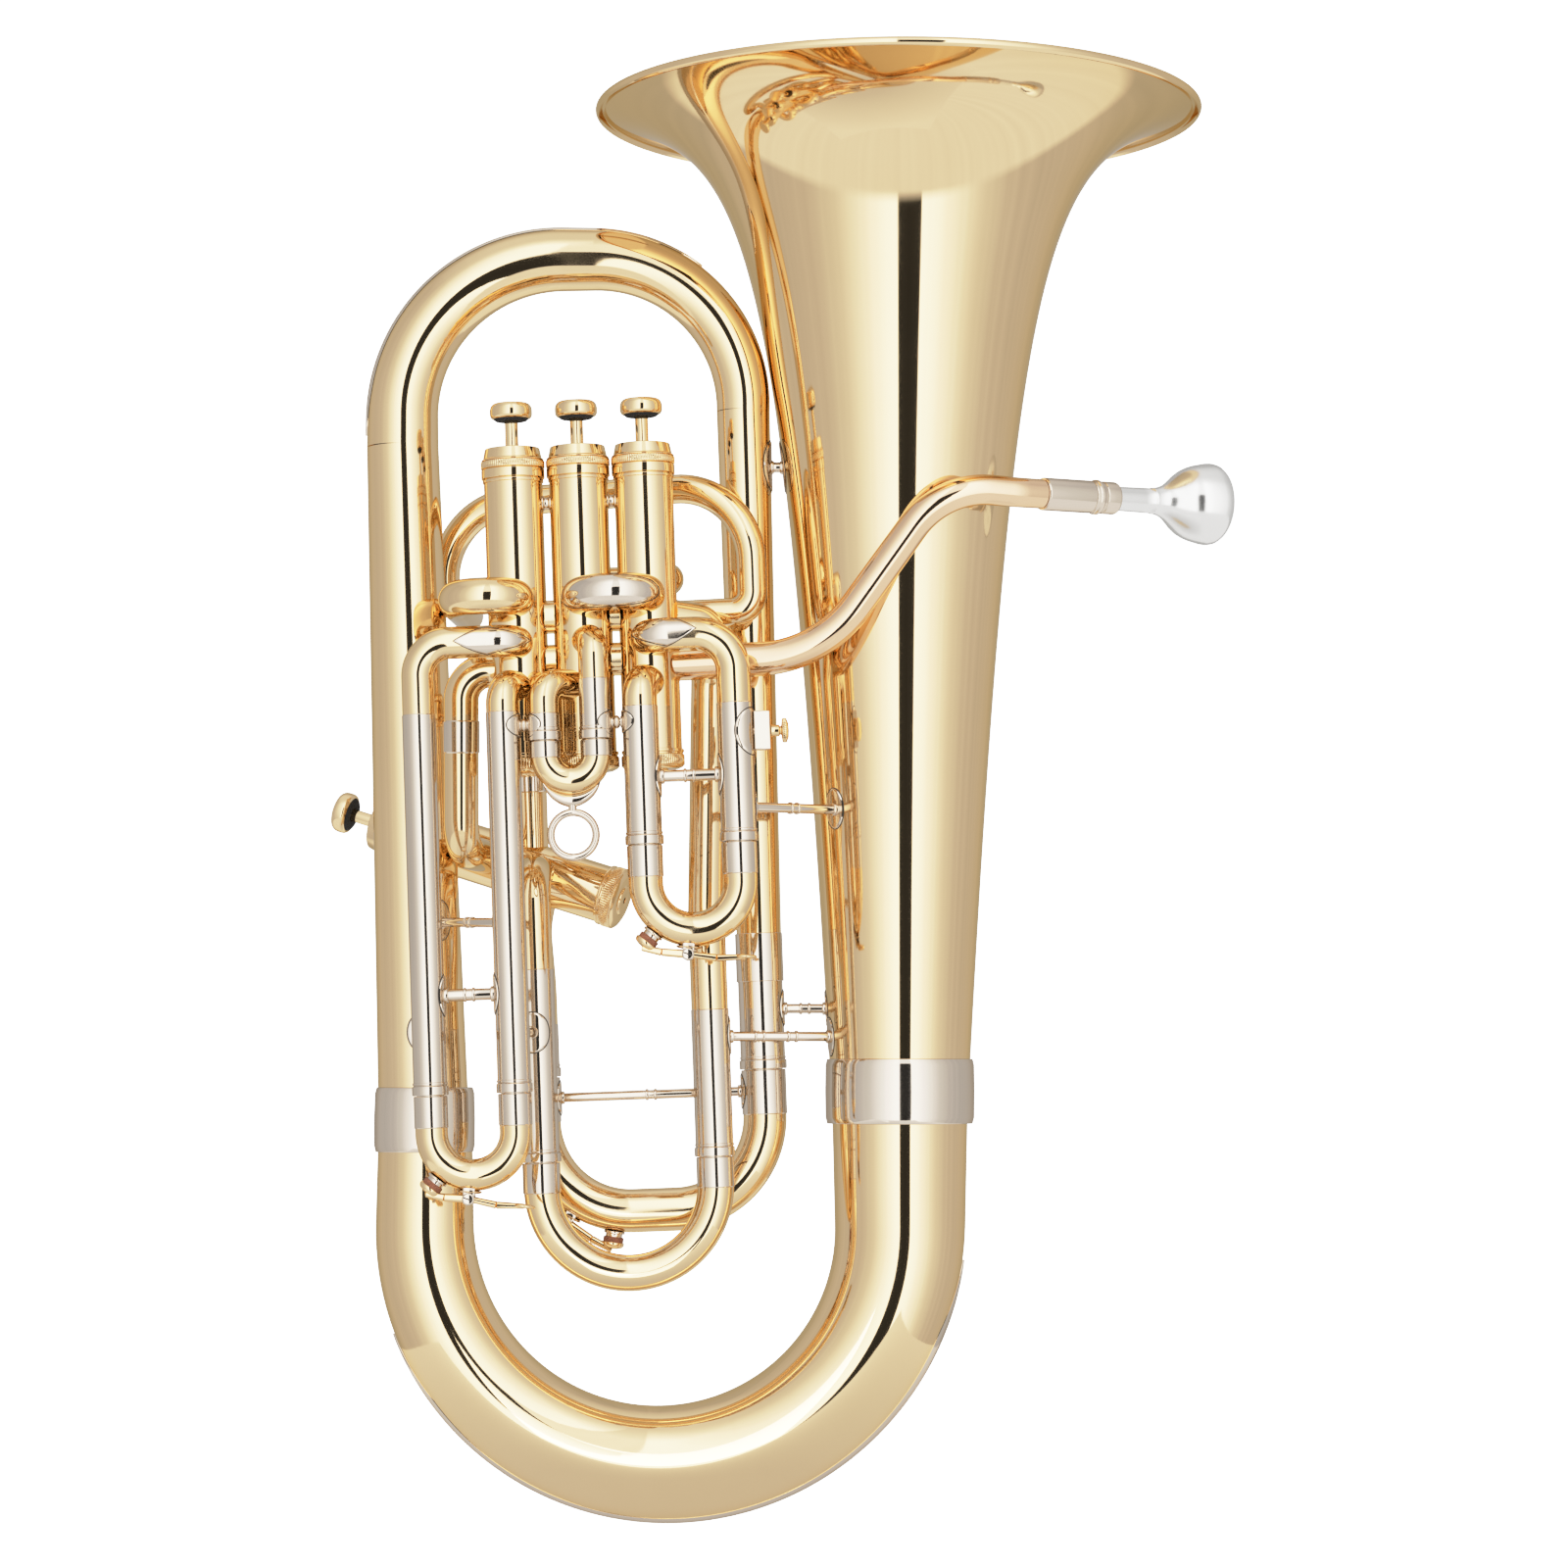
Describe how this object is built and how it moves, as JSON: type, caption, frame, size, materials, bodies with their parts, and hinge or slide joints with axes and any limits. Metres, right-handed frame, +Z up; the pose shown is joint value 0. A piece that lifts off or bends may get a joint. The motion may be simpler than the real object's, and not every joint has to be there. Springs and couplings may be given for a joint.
{
  "type": "euphonium",
  "caption": "Upright brass euphonium with top and side piston valves, pull-out tuning slides, water keys, a curved leadpipe and a silver mouthpiece.",
  "frame": {"origin": "lowest point of the bottom bow, midway between the bell's axis and the outer branch", "axes": "+Z up along the bell's axis to its mouth; +X from the outer branch towards the bell; -Y is the side with the front valves"},
  "size_m": [0.4549, 0.305, 0.707],
  "materials": {
    "lacquered_brass": "polished yellow brass under clear lacquer",
    "nickel_silver": "polished nickel silver",
    "rose_brass": "polished rose brass under clear lacquer",
    "silver_plate": "polished silver plate",
    "spring_steel": "plain spring wire",
    "valve_alloy": "honed nickel-copper alloy"
  },
  "bodies": {
    "instrument": {"bell": "lacquered_brass", "bell_ferrule": "nickel_silver", "bottom_bow": "lacquered_brass", "bottom_bow_guard": "lacquered_brass", "branch_ferrule": "nickel_silver", "outer_branch": "lacquered_brass", "top_bow": "lacquered_brass", "top_bow_guard": "lacquered_brass", "inner_branch": "lacquered_brass", "valve_casing_1": "lacquered_brass", "top_cap_1": "lacquered_brass", "bottom_cap_1": "lacquered_brass", "valve_spring_1": "spring_steel", "valve_casing_2": "lacquered_brass", "top_cap_2": "lacquered_brass", "bottom_cap_2": "lacquered_brass", "valve_spring_2": "spring_steel", "valve_casing_3": "lacquered_brass", "top_cap_3": "lacquered_brass", "bottom_cap_3": "lacquered_brass", "valve_spring_3": "spring_steel", "valve_casing_4": "lacquered_brass", "top_cap_4": "lacquered_brass", "bottom_cap_4": "lacquered_brass", "valve_spring_4": "spring_steel", "slide_1_outer": "nickel_silver", "slide_2_outer_left": "nickel_silver", "slide_2_outer_right": "nickel_silver", "slide_3_outer": "nickel_silver", "slide_4_outer_left": "nickel_silver", "slide_4_outer_right": "nickel_silver", "main_sleeve_left": "nickel_silver", "main_sleeve_right": "nickel_silver", "compensating_arch": "lacquered_brass", "compensating_loop": "lacquered_brass", "compensating_rear_loop": "lacquered_brass", "fourth_valve_inlet": "lacquered_brass", "fourth_valve_return": "lacquered_brass", "leadpipe": "rose_brass", "mouthpiece_receiver": "nickel_silver"},
    "main_slide": {"main_tuning_slide": "lacquered_brass"},
    "slide_1": {"slide_1": "lacquered_brass"},
    "slide_2": {"slide_2": "lacquered_brass", "slide_2_pull_ring": "nickel_silver"},
    "slide_3": {"slide_3": "lacquered_brass"},
    "slide_4": {"slide_4": "lacquered_brass"},
    "key_1": {"water_key_1": "lacquered_brass"},
    "key_3": {"water_key_3": "lacquered_brass"},
    "key_main": {"water_key_main": "lacquered_brass"},
    "lyre_screw": {"lyre_screw": "lacquered_brass"},
    "mouthpiece": {"mouthpiece": "silver_plate"},
    "valve_1": {"piston_1": "valve_alloy", "finger_button_1": "lacquered_brass"},
    "valve_2": {"piston_2": "valve_alloy", "finger_button_2": "lacquered_brass"},
    "valve_3": {"piston_3": "valve_alloy", "finger_button_3": "lacquered_brass"},
    "valve_4": {"piston_4": "valve_alloy", "finger_button_4": "lacquered_brass"}
  },
  "joints": [
    {"name": "valve_1_press", "type": "slide", "parent": "instrument", "child": "valve_1", "axis": [0.0366, 0, -0.9993], "range_m": [0, 0.0135], "stiffness_N_per_m": 320, "springref_m": -0.018, "deforming": ["valve_spring_1"]},
    {"name": "valve_2_press", "type": "slide", "parent": "instrument", "child": "valve_2", "axis": [0.0366, 0, -0.9993], "range_m": [0, 0.0135], "stiffness_N_per_m": 320, "springref_m": -0.018, "deforming": ["valve_spring_2"]},
    {"name": "valve_3_press", "type": "slide", "parent": "instrument", "child": "valve_3", "axis": [0.0366, 0, -0.9993], "range_m": [0, 0.0135], "stiffness_N_per_m": 320, "springref_m": -0.018, "deforming": ["valve_spring_3"]},
    {"name": "valve_4_press", "type": "slide", "parent": "instrument", "child": "valve_4", "axis": [0.923, -0.2448, -0.2968], "range_m": [0, 0.0135], "stiffness_N_per_m": 320, "springref_m": -0.018, "deforming": ["valve_spring_4"]},
    {"name": "main_slide_pull", "type": "slide", "parent": "instrument", "child": "main_slide", "axis": [0.0366, 0, -0.9993], "range_m": [0, 0.06]},
    {"name": "slide_1_pull", "type": "slide", "parent": "instrument", "child": "slide_1", "axis": [0.0366, 0, -0.9993], "range_m": [0, 0.045]},
    {"name": "slide_2_pull", "type": "slide", "parent": "instrument", "child": "slide_2", "axis": [0.0366, 0, -0.9993], "range_m": [0, 0.011]},
    {"name": "slide_3_pull", "type": "slide", "parent": "instrument", "child": "slide_3", "axis": [0.0366, 0, -0.9993], "range_m": [0, 0.13]},
    {"name": "slide_4_pull", "type": "slide", "parent": "instrument", "child": "slide_4", "axis": [0.0366, 0, -0.9993], "range_m": [0, 0.045]},
    {"name": "water_key_1_rock", "type": "hinge", "parent": "slide_1", "child": "key_1", "pos_m": [0.01415, -0.0665, 0.27843], "axis": [0, -1, 0], "range_deg": [0, 12], "stiffness_Nm_per_rad": 0.12, "springref_deg": -17.19},
    {"name": "water_key_3_rock", "type": "hinge", "parent": "slide_3", "child": "key_3", "pos_m": [-0.09099, -0.0665, 0.16103], "axis": [0, -1, 0], "range_deg": [0, 12], "stiffness_Nm_per_rad": 0.12, "springref_deg": -17.19},
    {"name": "water_key_main_rock", "type": "hinge", "parent": "main_slide", "child": "key_main", "pos_m": [-0.04761, 0, 0.14745], "axis": [0, 1, 0], "range_deg": [0, 6], "stiffness_Nm_per_rad": 0.12, "springref_deg": -17.19},
    {"name": "lyre_screw_turn", "type": "hinge", "parent": "instrument", "child": "lyre_screw", "pos_m": [0.05042, -0.0665, 0.38624], "axis": [0.9993, 0, 0.0366], "continuous": true},
    {"name": "mouthpiece_pull", "type": "slide", "parent": "instrument", "child": "mouthpiece", "axis": [0.8717, 0.4899, 0.0122], "range_m": [0, 0.03]}
  ]
}
